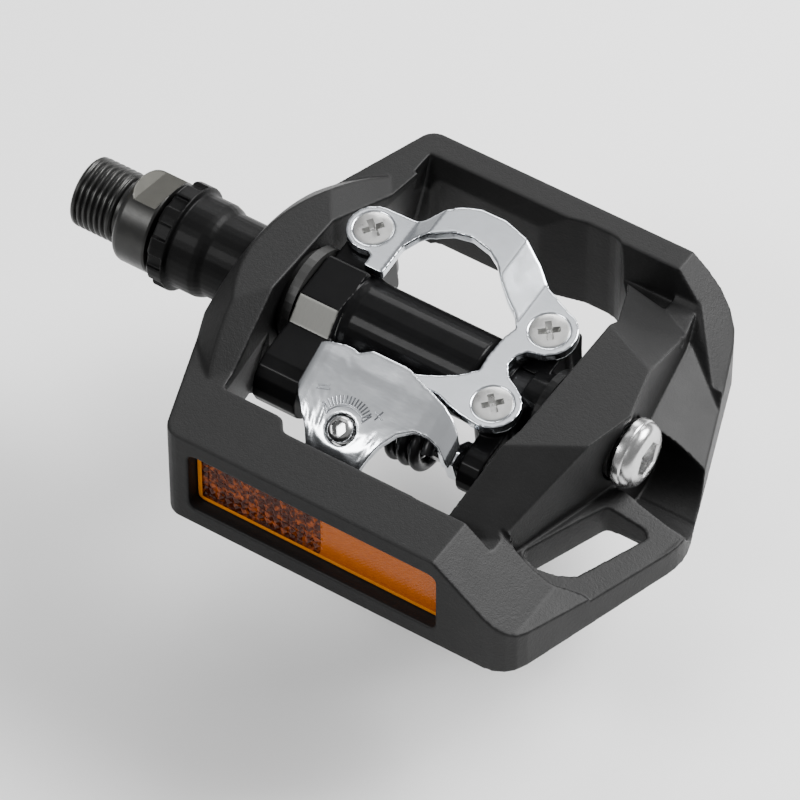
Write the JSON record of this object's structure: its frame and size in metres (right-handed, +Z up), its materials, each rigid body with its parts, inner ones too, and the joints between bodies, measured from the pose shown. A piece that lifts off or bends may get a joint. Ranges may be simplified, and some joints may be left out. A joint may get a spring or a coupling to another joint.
{
  "type": "clipless pedal",
  "caption": "Right bicycle pedal with a sprung cleat binding on one side inside a tilting resin cage with reflectors, flat on the other side.",
  "frame": {"origin": "centre of the spindle's inboard end face, on the axle line", "axes": "+X along the axle from the crank outwards, +Y towards the front of the bicycle, +Z up, with the cage level"},
  "size_m": [0.1337, 0.09, 0.0341],
  "materials": {
    "black_steel": "blackened, satin",
    "bright_steel": "bright plated",
    "plated_steel": "satin zinc plated",
    "black_alloy": "satin black",
    "black_resin": "fine moulded grain",
    "bushing_resin": "plain",
    "amber_lens": "clear amber with prism grid"
  },
  "bodies": {
    "spindle": {"spindle": "black_steel", "bearing_cone": "bright_steel", "cone_lock_nut": "bright_steel"},
    "binding": {"lock_collar": "black_resin", "axle_sleeve": "black_steel", "spindle_bushing": "bushing_resin", "binding_body": "black_alloy", "front_claw_plate": "plated_steel", "plate_screw_inboard": "bright_steel", "plate_screw_front": "bright_steel", "plate_screw_rear": "bright_steel", "claw_pin": "bright_steel", "cage_bolt": "bright_steel", "thrust_washer": "bushing_resin", "end_seal_ring": "black_resin", "claw_spring_inboard": "black_steel", "claw_spring_outboard": "black_steel", "popup_spring": "black_steel"},
    "cage": {"cage": "black_resin", "nose_bushing": "bushing_resin", "bridge_bushing": "bushing_resin", "front_reflector_lens": "amber_lens", "rear_reflector_lens": "amber_lens", "front_reflector_housing": "black_resin", "rear_reflector_housing": "black_resin"},
    "rear_claw": {"rear_claw": "plated_steel"},
    "tension_bolt": {"tension_bolt": "bright_steel"},
    "tension_plate": {"tension_plate": "black_steel"},
    "inboard_ball_row": {"inboard_ball_row": "bright_steel"},
    "outboard_ball_row": {"outboard_ball_row": "bright_steel"}
  },
  "joints": [
    {"name": "pedal_spin", "type": "hinge", "parent": "spindle", "child": "binding", "pos_m": [0.06, 0, 0], "axis": [1, 0, 0], "continuous": true},
    {"name": "cage_tilt", "type": "hinge", "parent": "binding", "child": "cage", "pos_m": [0.08, 0, 0], "axis": [1, 0, 0], "range_deg": [0, 7.5], "stiffness_Nm_per_rad": 0.3, "springref_deg": -20.05},
    {"name": "claw_release", "type": "hinge", "parent": "binding", "child": "rear_claw", "pos_m": [0.078, -0.0162, -0.00334], "axis": [1, 0, 0], "range_deg": [0, 14], "stiffness_Nm_per_rad": 2, "springref_deg": -34.38},
    {"name": "tension_bolt_turn", "type": "hinge", "parent": "rear_claw", "child": "tension_bolt", "pos_m": [0.0739, -0.02665, 0.00325], "axis": [0, -0.6088, 0.7934], "range_deg": [-720, 720]},
    {"name": "tension_plate_slide", "type": "slide", "parent": "rear_claw", "child": "tension_plate", "axis": [0, -0.6088, 0.7934], "range_m": [-0.0014, 0.0014]},
    {"name": "inboard_balls_roll", "type": "hinge", "parent": "spindle", "child": "inboard_ball_row", "pos_m": [0.0838, 0, 0], "axis": [1, 0, 0], "continuous": true},
    {"name": "outboard_balls_roll", "type": "hinge", "parent": "spindle", "child": "outboard_ball_row", "pos_m": [0.0898, 0, 0], "axis": [1, 0, 0], "continuous": true}
  ],
  "couplings": [
    {"joint": "tension_bolt_turn", "follows": "tension_plate_slide", "rad_per_m": -8975.9},
    {"joint": "inboard_balls_roll", "follows": "pedal_spin", "ratio": 0.617},
    {"joint": "outboard_balls_roll", "follows": "pedal_spin", "ratio": 0.617}
  ]
}
